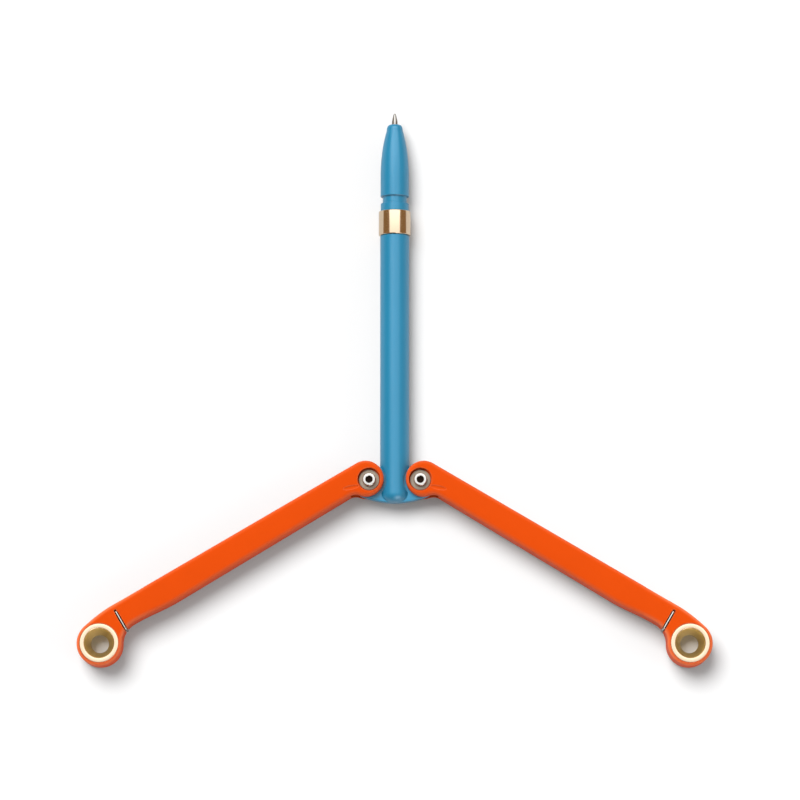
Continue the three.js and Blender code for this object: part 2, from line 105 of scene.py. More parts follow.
# Each lamp's tilt from overhead and its turn from the right towards the tip, in degrees
LAMPS = {"key": (30, 124), "fill": (70, -10), "low": (66, -68)}

# Greys that the plastics pass on as bounced light, and how far
BLUE_BOUNCE = (0.2, 0.2, 0.2)
ORANGE_BOUNCE = (0.2, 0.19, 0.18)
BOUNCE_SHARE = 0.8

# How strong the painted sheen on a handle's rim is, and how much stronger it gets over a length that starts beside
# the pen
RIM_BASE, RIM_GAIN = 0.9, 1.6
RIM_START, RIM_LENGTH = 84 * MM, 12 * MM


# Settings

def properties(kind, rows, convert=lambda default: default, **options):
    """Properties from rows of a default and a description. Each takes its label from its own name."""
    return {key: kind(name=key.replace("_", " ").capitalize(), description=description,
                      default=convert(default), **options)
            for key, (default, description) in rows.items()}


def sizes(**rows):
    """Lengths, with defaults in millimetres."""
    return properties(FloatProperty, rows, lambda default: default * MM, unit="LENGTH", precision=5)


def angles(**rows):
    """Angles, with defaults in degrees."""
    return properties(FloatProperty, rows, math.radians, subtype="ANGLE")


def tints(**rows):
    """Colours in linear light."""
    return properties(FloatVectorProperty, rows, size=3, subtype="COLOR", min=0, max=1)


def shares(**rows):
    """Numbers from 0 to 1."""
    return properties(FloatProperty, rows, min=0, max=1, subtype="FACTOR")


class PenSizes(bpy.types.PropertyGroup):
    """Sizes of the barrel, the tang, the nose and the writing tip"""

    __annotations__ = sizes(
        barrel_radius=(5.16, "Outer radius of the barrel"),
        base_round=(3.4, "Radius of the barrel's rounded base"),
        base_depth=(7.85, "How far the base reaches behind the pivots"),
        bore_radius=(4.4, "Radius of the bore that the nose screws into"),
        bore_length=(10.0, "Depth of the front bore"),
        tang_half=(2.2, "Half the thickness of the tang"),
        tang_eye=(6.1, "Radius of the tang round each pivot"),
        tang_root=(0.2, "How deep the tang's outline runs into the barrel"),
        tang_edge=(0.3, "Rounding of the tang's edges"),
        pocket_radius=(6.1, "Radius of the room for an ear in the barrel"),
        pivot_hole=(1.85, "Radius of the hole for the pivot"),
        collar_radius=(5.01, "Radius of the collar behind the groove"),
        collar_length=(2.85, "Length of the collar"),
        groove_radius=(4.26, "Radius at the bottom of the groove"),
        groove_width=(2.5, "Width of the groove that the wire clips drop into"),
        nose_radius=(5.08, "Radius of the straight part of the nose"),
        nose_straight=(6.3, "Length of the nose's straight part"),
        nose_lip=(2.05, "Length of the rounding at the nose's end"),
        nose_lip_radius=(1.9, "Radius of the nose's front face"),
        nose_end_radius=(2.9, "Radius where the rounding starts"),
        tip_radius=(1.15, "Radius of the writing tip's tube"),
        tip_hole=(1.25, "Radius of the hole that the writing tip passes through"),
        ball_radius=(0.38, "Radius of the writing ball"),
        band_edge=(0.3, "Rounding of the brass band's edges"),
    )


class HandleSizes(bpy.types.PropertyGroup):
    """Sizes of one handle, counted along its straight edge from the pivot, and across from the pivot"""

    __annotations__ = sizes(
        fillet=(1.6, "Rounding of the handle's outer edges"),
        straight_edge=(7.33, "From the pivot to the edge that faces the closed pen"),
        back_edge=(1.65, "From the pivot to the back edge"),
        swell=(0.96, "How much thicker the back is at its widest"),
        swell_start=(80.28, "Where the swelling starts to go"),
        swell_end=(95.98, "Where the swelling has gone"),
        eye_radius=(6.35, "Radius of the outline round the pivot"),
        eye_shift=(0.8, "How far the eye's centre lies along the handle"),
        eye_blend=(4.0, "Radius between the eye and the back edge"),
        ring_reach=(110.975, "From the pivot to the ring's centre, along the handle"),
        ring_offset=(-1.96, "From the pivot to the ring's centre, across the handle"),
        ring_end=(7.955, "Radius of the outline round the ring"),
        ring_blend=(8.0, "Radius between the ring end and the back edge"),
        edge_turn=(10.2, "Length over which the straight edge turns into the ring end"),
        channel=(5.5, "Radius of the room for the closed barrel"),
        band_room=(6.09, "Radius of the room for the brass band"),
        band_margin=(0.34, "Extra room before and behind the band"),
        boss_radius=(5.85, "Radius of the full-height boss round the pivot"),
        relief_half=(5.41, "Half height of the room that the barrel passes through"),
        fork_half=(2.7, "Half width of the slot for the tang"),
        fork_depth=(8.6, "Radius of the slot's floor"),
        rim=(0.16, "Chamfer on the rims of the bores and slots"),
        scoop_length=(5.8, "Length of the shallow scoop beside the counterbore"),
        scoop_width=(1.5, "Width of the scoop"),
        scoop_depth=(0.42, "Depth of the scoop"),
        scoop_reach=(7.0, "From the pivot to the scoop's middle, along the handle"),
        scoop_offset=(0.65, "From the pivot to the scoop's middle, across the handle"),
    ) | angles(
        splay=(30.4, "Angle of the handle below the level at rest"),
        closed_tilt=(0.6, "Angle between a closed handle and the pen"),
        scoop_angle=(19.0, "Turn of the scoop from the straight edge"),
    )


class PivotSizes(bpy.types.PropertyGroup):
    """Sizes of the pivot screws, their nuts and their washers"""

    __annotations__ = sizes(
        counterbore=(4.05, "Radius of the counterbore in the handle's face"),
        counterbore_depth=(2.4, "Depth of the counterbore"),
        washer_radius=(3.6, "Outer radius of the washer"),
        washer_hole=(1.95, "Inner radius of the washer"),
        washer_thickness=(0.4, "Thickness of the washer"),
        washer_seat=(4.05, "Height of the washer's lower face above the middle"),
        head_radius=(2.3, "Radius of the screw's head"),
        head_seat=(4.5, "Height of the head's lower face above the middle"),
        head_top=(6.3, "Height of the head's upper face above the middle"),
        head_edge=(0.35, "Rounding of the head's upper edge"),
        socket_radius=(1.35, "Radius over the corners of the hexagon socket"),
        socket_depth=(1.2, "Depth of the socket"),
        shaft_radius=(1.75, "Radius of the barrel nut's shaft"),
        shaft_end=(4.0, "Height above the middle at which the nut's shaft ends"),
        shank_radius=(1.0, "Radius of the screw's shank"),
        shank_end=(-2.5, "Height above the middle at which the shank ends"),
        nut_bore=(1.1, "Radius of the bore in the barrel nut"),
    )


class RingSizes(bpy.types.PropertyGroup):
    """Sizes of the brass ring weights"""

    __annotations__ = sizes(
        radius=(6.85, "Outer radius"),
        sink=(0.2, "How far the ring's face lies below the handle's"),
        mouth=(5.3, "Radius of the countersink at the face"),
        throat=(3.15, "Radius of the straight throat"),
        throat_half=(0.6, "Half the length of the throat"),
        edge=(0.16, "Rounding of the ring's edges"),
    )


class WireSizes(bpy.types.PropertyGroup):
    """Sizes of the wire clips"""

    __annotations__ = sizes(
        radius=(0.375, "Radius of the wire"),
        bend=(0.6, "Radius of its bends at the middle of the wire"),
        reach=(100.375, "From the pivot to the wire, along the handle"),
        tip=(4.807, "From the pivot to the bent tips, across the handle"),
        leg=(5.975, "Height of the legs above the middle"),
        back=(-2.232, "From the pivot to the wire's back, across the handle"),
        tip_gap=(0.5, "Height above the middle at which the tips end"),
        slot_half=(0.6, "Half the width of the wire's slot"),
        slot_floor=(5.5, "Height of the slot's floor above the middle"),
        back_floor=(-1.757, "Floor of the groove in the back edge"),
    )


class Finishes(bpy.types.PropertyGroup):
    """Colours and gloss of the materials"""

    __annotations__ = tints(
        blue=((0.003, 0.224, 0.402), "Colour of the barrel and the nose"),
        orange=((0.745, 0.072, 0.0025), "Colour of the handles"),
        brass=((0.80, 0.62, 0.44), "Colour of the band and the ring weights"),
        # A rougher brass for the countersinks, also paler and yellower as painted light in their shaded hollow
        cone_brass=((0.88, 0.72, 0.38), "Colour of the ring weights' satin countersinks"),
        steel=((0.62, 0.61, 0.59), "Colour of the screws and wires"),
        tip_steel=((0.40, 0.39, 0.37), "Colour of the writing tip"),
        washer_steel=((0.36, 0.30, 0.23), "Colour of the duller washers"),
        # Painted shade: a near-black colour that stands for the shade deep in the sockets
        socket_shade=((0.014, 0.006, 0.003), "Colour of the blackened inside of the sockets"),
        bronze=((0.36, 0.20, 0.09), "Colour of the thrust washers"),
        refill=((0.78, 0.78, 0.74), "Colour of the refill's tube"),
        # Painted shade: the dark colour that stands for the shade in the wire's narrow slot
        slot_shade=((0.05, 0.012, 0.004), "Colour of the dark walls of the wire's slot"),
        # Painted sheen: a paler orange that stands for the light caught on the handles' rounded edges
        rim_orange=((1.0, 0.26, 0.10), "Paler orange of the handles' rounded edges"),
    ) | shares(
        blue_sheen=(1.0, "How strongly the barrel and the nose mirror light"),
        orange_sheen=(0.08, "How strongly the handles mirror light"),
        blue_gloss=(0.35, "Roughness of the barrel and the nose"),
        orange_gloss=(0.5, "Roughness of the handles"),
    )


class StageSettings(bpy.types.PropertyGroup):
    """Camera, lights and floor"""

    __annotations__ = sizes(
        distance=(1439.4, "From the camera to the point it looks at"),
        target_x=(1.88, "Where the camera looks, across"),
        target_y=(-4.411, "Where the camera looks, along"),
    ) | angles(
        elevation=(82.303, "Height of the camera above the horizon"),
        field=(11.277, "Width of the view"),
        lamp_spread=(36, "How wide each lamp is, seen from the pen"),
    ) | properties(FloatProperty, dict(
        key=(2.8, "Strength of the soft light from the upper left"),
        fill=(0.5, "Strength of the faint light from the lower right"),
        low=(0.9, "Strength of the light that reaches into the ring weights and shows only in gloss"),
        world=(0.33, "Strength of the surroundings"),
        panel=(1.3, "Brightness of the panel overhead that metal mirrors"),
        floor_glow=(0.02, "Glow that keeps the floor white"),
    ), min=0) | shares(
        floor_tone=(0.9, "How pale the floor is"),
    ) | properties(IntProperty, dict(facets=(128, "Facets round a large turned piece")), min=3)


class ButterflyPen(bpy.types.PropertyGroup):
    """All the settings of the butterfly pen"""

    pen: PointerProperty(type=PenSizes)
    handle: PointerProperty(type=HandleSizes)
    pivot: PointerProperty(type=PivotSizes)
    ring: PointerProperty(type=RingSizes)
    wire: PointerProperty(type=WireSizes)
    finish: PointerProperty(type=Finishes)
    stage: PointerProperty(type=StageSettings)


# Mesh helpers

def steps_to_one(count):
    """Even steps from 0 to 1, with both ends."""
    return [i / count for i in range(count + 1)]


def arc(centre, radius, start, end, steps):
    """Points along an arc in a plane, with both ends."""
    turns = [start + (end - start) * i / steps for i in range(steps + 1)]
    return [Vector((centre[0] + radius * math.cos(turn), centre[1] + radius * math.sin(turn))) for turn in turns]


def moved(bm, matrix):
    """The same bmesh, transformed."""
    bmesh.ops.transform(bm, matrix=matrix, verts=bm.verts)
    return bm


def cleaned(bm):
    """The same bmesh with its doubles merged and its faces pointing outwards."""
    bmesh.ops.remove_doubles(bm, verts=bm.verts, dist=WELD)
    bmesh.ops.recalc_face_normals(bm, faces=bm.faces)
    return bm


def to_object(name, bm):
    """An object in the scene from a bmesh, which is used up."""
    mesh = bpy.data.meshes.new(name)
    bm.to_mesh(mesh)
    bm.free()
    made = bpy.data.objects.new(name, mesh)
    bpy.context.scene.collection.objects.link(made)
    return made


def finished(name, bm, material, body, node, place):
    """A piece made from a bmesh, shaded smooth, that rides on a body and stands for a CAD node."""
    piece = to_object(name, moved(cleaned(bm), place))
    piece.data.shade_smooth()
    piece.data.set_sharp_from_angle(angle=SHARP_ANGLE)
    piece.data.materials.append(material)
    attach(piece, body)
    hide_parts(node)
    return piece


def combined(first, second, operation):
    """The bmesh that a boolean of two bmeshes gives. Both are used up."""
    target, tool = (to_object("scratch", cleaned(bm)) for bm in (first, second))
    boolean = target.modifiers.new("boolean", "BOOLEAN")
    boolean.operation = operation
    boolean.solver = "EXACT"
    boolean.object = tool
    graph = bpy.context.evaluated_depsgraph_get()
    result = bmesh.new()
    result.from_mesh(target.evaluated_get(graph).to_mesh())
    for used in (target, tool):
        data = used.data
        bpy.data.objects.remove(used)
        bpy.data.meshes.remove(data)
    return result


def without(bm, *cutters):
    """A bmesh with cutters taken out of it, one after the other. All are used up."""
    for cutter in cutters:
        bm = combined(bm, cutter, "DIFFERENCE")
    return bm


def spun(section, steps, axis="Y"):
    """A solid turned about an axis through the origin, from (radius, along) points round its section.

    A section that starts on the axis ends there too, and any other is closed up.
    """
    bm = bmesh.new()
    upright = axis == "Z"
    verts = [bm.verts.new((radius, 0, along) if upright else (radius, along, 0)) for radius, along in section]
    pairs = list(zip(verts, verts[1:]))
    if section[0][0] > 0:
        pairs.append((verts[-1], verts[0]))
    edges = [bm.edges.new(pair) for pair in pairs]
    bmesh.ops.spin(bm, geom=verts + edges, cent=(0, 0, 0), axis=(0, 0, 1) if upright else (0, 1, 0),
                   angle=2 * math.pi, steps=steps, use_merge=True)
    return cleaned(bm)


def disc(radius, low, high, chamfer=0.0, steps=96, centre=(0, 0)):
    """A round cutter about the Z axis. With a chamfer, its upper end, at high, opens out past it."""
    top = [(radius, high), (0, high)]
    if chamfer:
        over = HANDLE_HALF
        top = [(radius, high - chamfer), (radius + chamfer + over, high + over), (0, high + over)]
    return moved(spun([(0, low), (radius, low), *top], steps, "Z"), Matrix.Translation((*centre, 0)))


def box_cutter(low, high):
    """A box between two corners."""
    bm = bmesh.new()
    bmesh.ops.create_cube(bm, size=1)
    extent = Vector(high) - Vector(low)
    middle = (Vector(high) + Vector(low)) / 2
    return moved(bm, Matrix.Translation(middle) @ Matrix.Diagonal((*extent, 1)))


def bevelled(bm, edges, width, segments, clamp):
    """The same bmesh with some of its edges rounded."""
    bmesh.ops.bevel(bm, geom=edges, offset=width, offset_type="OFFSET", segments=segments, profile=0.5,
                    affect="EDGES", clamp_overlap=clamp, material=-1)
    return bm


def plate(points, low, high, edge, segments):
    """A flat plate with an outline of points in the XY plane and rounded edges."""
    bm = bmesh.new()
    base = bm.faces.new([bm.verts.new((point[0], point[1], low)) for point in points])
    grown = bmesh.ops.extrude_face_region(bm, geom=[base])
    top = [item for item in grown["geom"] if isinstance(item, bmesh.types.BMVert)]
    bmesh.ops.translate(bm, verts=top, vec=(0, 0, high - low))
    bmesh.ops.recalc_face_normals(bm, faces=bm.faces)
    rims = [rim for rim in bm.edges if abs(rim.verts[0].co.z - rim.verts[1].co.z) < WELD / 2]
    return bevelled(bm, rims, edge, segments, clamp=False)


def softened(bm, width, segments, angle=SHARP_ANGLE):
    """Rounds the sharp edges of a turned piece a little."""
    sharp = [edge for edge in bm.edges if len(edge.link_faces) == 2 and edge.calc_face_angle(0) > angle]
    return bevelled(bm, sharp, width, segments, clamp=True)


def handle_place(side):
    """Puts a piece in a handle's own frame. The left handle is the right one turned over."""
    splay = bpy.context.scene.butterfly_pen.handle.splay
    over = Matrix.Rotation(math.pi if side == "left" else 0, 4, "Y")
    return Matrix.Translation(PIVOT[side]) @ over @ Matrix.Rotation(-splay, 4, "Z")


# Node helpers

def set_inputs(tree, node, inputs):
    """Sets a node's inputs, by name or number. A socket is linked, and a value is set."""
    for label, value in inputs.items():
        if isinstance(value, bpy.types.NodeSocket):
            tree.links.new(value, node.inputs[label])
        else:
            node.inputs[label].default_value = value


def spaced(values):
    """Keyword names as socket names."""
    return {label.replace("_", " "): value for label, value in values.items()}


def add_node(tree, kind, inputs=None, **settings):
    """A shader node with its settings and its inputs."""
    node = tree.nodes.new("ShaderNode" + kind)
    for label, value in settings.items():
        setattr(node, label, value)
    set_inputs(tree, node, inputs or {})
    return node


def math_node(tree, operation, *values, clamp=False):
    """The result of a Math node whose inputs are sockets or numbers."""
    return add_node(tree, "Math", dict(enumerate(values)), operation=operation, use_clamp=clamp).outputs[0]


def scaled(tree, value, factor, offset=0.0, clamp=False):
    """A value times a factor, plus an offset."""
    return math_node(tree, "MULTIPLY_ADD", value, factor, offset, clamp=clamp)


def centred(tree, pattern):
    """A pattern from 0 to 1, moved to lie about 0."""
    return math_node(tree, "SUBTRACT", pattern, 0.5)


def noise(tree, place, scale, detail=2.0, roughness=0.5, dimensions="3D"):
    """A Noise node's value at a place. In one dimension, the place is a number."""
    inputs = {"W" if dimensions == "1D" else "Vector": place, "Scale": scale, "Detail": detail,
              "Roughness": roughness}
    return add_node(tree, "TexNoise", inputs, noise_dimensions=dimensions).outputs["Fac"]


def object_place(tree):
    """A point's place on the piece, in metres."""
    return add_node(tree, "TexCoord").outputs["Object"]


def split(tree, vector):
    """The X, Y and Z of a vector."""
    return add_node(tree, "SeparateXYZ", {0: vector}).outputs


def grey(tree, value):
    """A colour whose three channels are one value."""
    return add_node(tree, "CombineColor", dict.fromkeys(range(3), value)).outputs[0]


def mixed(tree, factor, first, second, blend="MIX"):
    """A colour that turns from the first into the second by a factor. Each is a socket or a value."""
    first, second = (colour if isinstance(colour, bpy.types.NodeSocket) else (*colour, 1)
                     for colour in (first, second))
    return add_node(tree, "Mix", {"Factor": factor, "A": first, "B": second}, data_type="RGBA",
                    blend_type=blend).outputs["Result"]


def toned(tree, colour, tone):
    """A colour made lighter or darker by a tone about 1."""
    return mixed(tree, 1.0, colour, grey(tree, tone), "MULTIPLY")


def paler(colour, part):
    """A colour moved towards white by a part of the way."""
    return [channel + (1 - channel) * part for channel in colour]


# Shader node groups

def node_group(name, inputs, outputs=("Height", "Tone", "Gloss")):
    """An empty shader node group with number sockets, its inputs, and its last node."""
    group = bpy.data.node_groups.new(name, "ShaderNodeTree")
    for label, default in inputs.items():
        socket = group.interface.new_socket(label, in_out="INPUT", socket_type="NodeSocketFloat")
        socket.default_value = default
    for label in outputs:
        group.interface.new_socket(label, in_out="OUTPUT", socket_type="NodeSocketFloat")
    return group, group.nodes.new("NodeGroupInput").outputs, group.nodes.new("NodeGroupOutput")


def put_out_skin(group, end, height, pattern, tone_change):
    """Puts out a height, a tone about 1 that follows a pattern, and a change of gloss about 0."""
    set_inputs(group, end, {
        "Height": height,
        "Tone": scaled(group, centred(group, pattern), tone_change, 1.0),
        "Gloss": centred(group, height),
    })


def moulded_skin():
    """Group: the fine grain and slight unevenness of a moulded plastic skin."""
    group, given, end = node_group("moulded_skin", {"Grain Scale": 4200.0, "Unevenness": 0.04})
    place = object_place(group)
    grain = noise(group, place, given["Grain Scale"], 3.0, 0.6)
    put_out_skin(group, end, grain, noise(group, place, 60.0), given["Unevenness"])
    return group


def turning_marks():
    """Group: the fine lines that a lathe leaves, from a place across them in metres."""
    group, given, end = node_group("turning_marks", {"Place": 0.0, "Tone Change": 0.1})
    fine = noise(group, given["Place"], 26000.0, roughness=0.7, dimensions="1D")
    wide = noise(group, given["Place"], 5200.0, dimensions="1D")
    both = scaled(group, fine, 0.6, scaled(group, wide, 0.4))
    put_out_skin(group, end, both, both, given["Tone Change"])
    return group


def edge_light():
    """Group: a mask of the edges, where a painted highlight makes plastic paler and metal brighter."""
    group, given, end = node_group("edge_light", {"Radius": 0.3 * MM, "Strength": 1.0}, ["Mask"])
    rounded = add_node(group, "Bevel", {"Radius": given["Radius"]}, samples=4).outputs[0]
    normal = add_node(group, "NewGeometry").outputs["Normal"]
    product = add_node(group, "VectorMath", {0: rounded, 1: normal}, operation="DOT_PRODUCT")
    bend = math_node(group, "SUBTRACT", 1.0, product.outputs["Value"], clamp=True)
    set_inputs(group, end, {"Mask": scaled(group, bend, given["Strength"], clamp=True)})
    return group


def add_group(tree, maker, **values):
    """The outputs of a group placed in a material with its own values. The group itself is made once."""
    group = bpy.data.node_groups.get(maker.__name__) or maker()
    return add_node(tree, "Group", spaced(values), node_tree=group).outputs


# Materials

def new_material(name, **values):
    """A material, its node tree, and its Principled shader with some values set."""
    material = bpy.data.materials.new(name)
    material.use_nodes = True
    tree = material.node_tree
    shader = tree.nodes["Principled BSDF"]
    set_inputs(tree, shader, spaced(values))
    return material, tree, shader


def made_once(make):
    """Finds a material by its name where an earlier call has made it."""
    @functools.wraps(make)
    def find_or_make(name, *values, **options):
        return bpy.data.materials.get(name) or make(name, *values, **options)
    return find_or_make


def dress(tree, shader, colour, rough, height, depth):
    """Sets what changes over a surface: its colour, its roughness, and a bump of a depth in metres."""
    bump = add_node(tree, "Bump", {"Distance": depth, "Strength": 1.0, "Height": height})
    set_inputs(tree, shader, {"Base Color": colour, "Roughness": rough, "Normal": bump.outputs["Normal"]})


def rim_mask(tree):
    """A mask of the painted sheen on the rounded edges of a handle, stronger towards its ring weight."""
    coordinates = add_node(tree, "TexCoord").outputs
    upright = math_node(tree, "ABSOLUTE", split(tree, coordinates["Normal"])["Z"])
    rounded = math_node(tree, "MULTIPLY", upright, math_node(tree, "SUBTRACT", 1.0, upright))
    outward = math_node(tree, "ABSOLUTE", split(tree, coordinates["Object"])["X"])
    sheen_growth = scaled(tree, math_node(tree, "SUBTRACT", outward, RIM_START), 1 / RIM_LENGTH, clamp=True)
    return scaled(tree, rounded, scaled(tree, sheen_growth, RIM_GAIN, RIM_BASE), clamp=True)


@made_once
def plastic(name, colour, roughness, specular, rim=None, bounce=None):
    """Satin moulded plastic with a fine grain and a painted highlight on its sharp edges.

    It may have a painted sheen on its rounded rim, and a grey in place of its colour in the light that it passes
    on.
    """
    material, tree, shader = new_material(name, Specular_IOR_Level=specular)
    skin = add_group(tree, moulded_skin, Unevenness=0.07)
    edges = add_group(tree, edge_light, Radius=0.35 * MM, Strength=2.0 if rim else 1.4)
    # Painted highlight: the sharp edges turn paler, or take the rim colour
    base = mixed(tree, edges["Mask"], toned(tree, colour, skin["Tone"]), rim or paler(colour, 0.16))
    # Painted sheen: the rounded rims turn paler, more so towards the ring weight
    if rim:
        base = mixed(tree, rim_mask(tree), base, rim)
    if bounce:
        bounced = add_node(tree, "LightPath").outputs["Is Diffuse Ray"]
        base = mixed(tree, scaled(tree, bounced, BOUNCE_SHARE), base, bounce)
    dress(tree, shader, base, scaled(tree, skin["Gloss"], 0.16, roughness), skin["Height"], 0.006 * MM)
    return material


def lathe_place(tree, centre):
    """Where a point lies across the lathe's lines: along the pen or, with a centre, outwards from it.

    The centre stands for the one on the pen's other side too.
    """
    place = split(tree, object_place(tree))
    if centre is None:
        return place["Y"]
    sideways = math_node(tree, "SUBTRACT", math_node(tree, "ABSOLUTE", place["X"]), abs(centre[0]))
    along = math_node(tree, "SUBTRACT", place["Y"], centre[1])
    square = scaled(tree, sideways, sideways, math_node(tree, "MULTIPLY", along, along))
    return math_node(tree, "ADD", math_node(tree, "SQRT", square), place["Z"])


@made_once
def turned_metal(name, colour, roughness, tone_change, centre=None, metallic=1.0):
    """Metal with lathe lines along its length, or round a centre."""
    material, tree, shader = new_material(name, Metallic=metallic)
    marks = add_group(tree, turning_marks, Tone_Change=tone_change, Place=lathe_place(tree, centre))
    edges = add_group(tree, edge_light, Radius=0.12 * MM, Strength=1.2)
    # Painted highlight: the sharp edges turn brighter
    base = mixed(tree, edges["Mask"], toned(tree, colour, marks["Tone"]), paler(colour, 0.35))
    dress(tree, shader, base, scaled(tree, marks["Gloss"], 0.12, roughness), marks["Height"], 0.0012 * MM)
    return material


@made_once
def drawn_wire(name, colour):
    """Drawn steel wire with faint marks and dull spots."""
    material, tree, shader = new_material(name, Metallic=1.0)
    spots = noise(tree, object_place(tree), 2600.0, 3.0, 0.6)
    base = toned(tree, colour, scaled(tree, centred(tree, spots), 0.2, 1.0))
    dress(tree, shader, base, scaled(tree, spots, 0.16, 0.14), spots, 0.002 * MM)
    return material


@made_once
def dark_shade(name, colour, metallic):
    """Painted shade: a dark, blotchy colour for the inside of a narrow cut, where shade falls."""
    material, tree, shader = new_material(name, Metallic=metallic, Specular_IOR_Level=0.1)
    spots = noise(tree, object_place(tree), 5000.0, 3.0)
    base = toned(tree, colour, scaled(tree, spots, 0.8, 0.6))
    dress(tree, shader, base, scaled(tree, spots, 0.3, 0.3), spots, 0.003 * MM)
    return material


def blue_plastic(finish):
    """The plastic of the barrel and the nose."""
    return plastic("blue_plastic", finish.blue, finish.blue_gloss, finish.blue_sheen, bounce=BLUE_BOUNCE)


def second_finish(piece, material, place, inside):
    """Gives a second material to the faces whose middle, before the piece was placed, passes a test."""
    piece.data.materials.append(material)
    back = place.inverted()
    for face in piece.data.polygons:
        if inside(back @ face.center):
            face.material_index = 1


# Outlines and cutters

def into_back(end, radius, blend, back_edge, way):
    """Centre of the arc from a round end into the back edge, and the angle where the end meets that arc."""
    across = -back_edge - blend
    centre = Vector((end.x + way * math.sqrt((radius + blend) ** 2 - (across - end.y) ** 2), across))
    return centre, math.atan2(centre.y - end.y, centre.x - end.x)


def handle_outline(h):
    """Points round a handle: straight edge, ring end, swollen back, and the eye round the pivot."""
    ring = Vector((h.ring_reach, h.ring_offset))
    eye = Vector((h.eye_shift, h.straight_edge - h.eye_radius))
    turn = Vector((h.ring_reach - h.edge_turn / 2, h.straight_edge))
    to_turn = turn - ring
    ring_top = math.atan2(to_turn.y, to_turn.x) - math.acos(h.ring_end / to_turn.length)
    ring_blend, ring_foot = into_back(ring, h.ring_end, h.ring_blend, h.back_edge, -1)
    eye_blend, eye_foot = into_back(eye, h.eye_radius, h.eye_blend, h.back_edge, 1)

    turn_start = Vector((h.ring_reach - h.edge_turn, h.straight_edge))
    turn_end = ring + h.ring_end * Vector((math.cos(ring_top), math.sin(ring_top)))
    edge_turn = [turn_start.lerp(turn, t).lerp(turn.lerp(turn_end, t), t) for t in steps_to_one(10)[:-1]]
    swell = [Vector((h.swell_end + (h.swell_start - h.swell_end) * t,
                     -h.back_edge - h.swell * (t * t * (3 - 2 * t)))) for t in steps_to_one(14)]
    return (
        edge_turn
        + arc(ring, h.ring_end, ring_top, ring_foot, 72)[:-1]
        + arc(ring_blend, h.ring_blend, ring_foot + math.pi, QUARTER, 10)
        + swell
        + arc(eye_blend, h.eye_blend, QUARTER, eye_foot + math.pi, 12)
        + arc(eye, h.eye_radius, eye_foot, -3 * QUARTER, 60)[1:]
    )


def channel_cutter(h):
    """Room for the closed pen and the swing of the ear, round the boss at the pivot."""
    start = -3 * h.boss_radius
    end = h.ring_reach + 2 * h.ring_end
    band_rear = BAND_LOW.y - PIVOT_Y - h.band_margin
    band_front = BAND_HIGH.y - PIVOT_Y + h.band_margin
    section = [(0, start), (h.channel, start), (h.channel, band_rear), (h.band_room, band_rear),
               (h.band_room, band_front), (h.channel, band_front), (h.channel, end), (0, end)]
    place = Matrix.Rotation(h.closed_tilt - QUARTER, 4, "Z") @ Matrix.Translation((-PIVOT_X, 0, 0))
    relief = box_cutter((-2 * h.eye_radius, -h.back_edge, -h.relief_half), (0, 2 * h.straight_edge, h.relief_half))
    boss = disc(h.boss_radius, -HANDLE_HALF * 1.1, HANDLE_HALF * 1.1)
    return without(combined(moved(spun(section, 160), place), relief, "UNION"), boss)


def wire_room(h, w, low, high, end):
    """A cutter as wide as a wire's slot, from outside the back edge to its end."""
    return box_cutter((w.reach - w.slot_half, -3 * h.ring_end, low), (w.reach + w.slot_half, end, high))


def face_cutters(h, p, w, face):
    """Cuts in one face of a handle, made for the front and mirrored for the rear."""
    counterbore = disc(p.counterbore, HANDLE_HALF - p.counterbore_depth, HANDLE_HALF, h.rim)
    scoop = bmesh.new()
    bmesh.ops.create_uvsphere(scoop, u_segments=48, v_segments=24, radius=1)
    moved(scoop, Matrix.Translation((h.scoop_reach, h.scoop_offset, HANDLE_HALF))
          @ Matrix.Rotation(h.scoop_angle, 4, "Z")
          @ Matrix.Diagonal((h.scoop_length / 2, h.scoop_width / 2, h.scoop_depth, 1)))
    slot = wire_room(h, w, w.slot_floor, 2 * HANDLE_HALF, w.tip)
    hole = disc(w.slot_half, 0, 2 * HANDLE_HALF, steps=32, centre=(w.reach, w.tip))
    mirror = Matrix.Diagonal((1, 1, FACES[face], 1))
    return [moved(cut, mirror) for cut in (counterbore, scoop, combined(slot, hole, "UNION"))]


def handle_mesh(settings):
    """One handle in its own frame."""
    h, w = settings.handle, settings.wire
    over = 2 * HANDLE_HALF
    bore_radius = settings.ring.radius + GAP
    flare = bore_radius + over + h.rim
    bore = spun([(0, -HANDLE_HALF - over), (flare, -HANDLE_HALF - over), (bore_radius, -HANDLE_HALF + h.rim),
                 (bore_radius, HANDLE_HALF - h.rim), (flare, HANDLE_HALF + over), (0, HANDLE_HALF + over)],
                128, "Z")
    return without(
        plate(handle_outline(h), -HANDLE_HALF, HANDLE_HALF, h.fillet, 8),
        channel_cutter(h),
        disc(h.fork_depth, -h.fork_half, h.fork_half),
        disc(settings.pen.pivot_hole, -HANDLE_HALF, HANDLE_HALF, steps=48),
        moved(bore, Matrix.Translation((h.ring_reach, h.ring_offset, 0))),
        *(cut for face in FACES for cut in face_cutters(h, settings.pivot, w, face)),
        wire_room(h, w, -2 * HANDLE_HALF, 2 * HANDLE_HALF, w.back_floor),
    )


def tang_outline(s):
    """Points round the tang: an eye round each pivot, joined by one long arc behind the barrel."""
    rise = s.base_depth - s.tang_eye
    arc_centre = (PIVOT_X ** 2 - rise ** 2) / (2 * rise)
    tangent = math.atan2(-arc_centre, PIVOT_X)
    root = math.sqrt(s.barrel_radius ** 2 - s.tang_half ** 2) - s.tang_root
    hidden = math.acos((root - PIVOT_X) / s.tang_eye)
    return (
        arc((PIVOT_X, 0), s.tang_eye, hidden, tangent, 60)
        + arc((0, arc_centre), arc_centre + s.base_depth, tangent, -math.pi - tangent, 32)[1:-1]
        + arc((-PIVOT_X, 0), s.tang_eye, -math.pi - tangent, math.pi - hidden - 2 * math.pi, 60)
    )


# Pieces

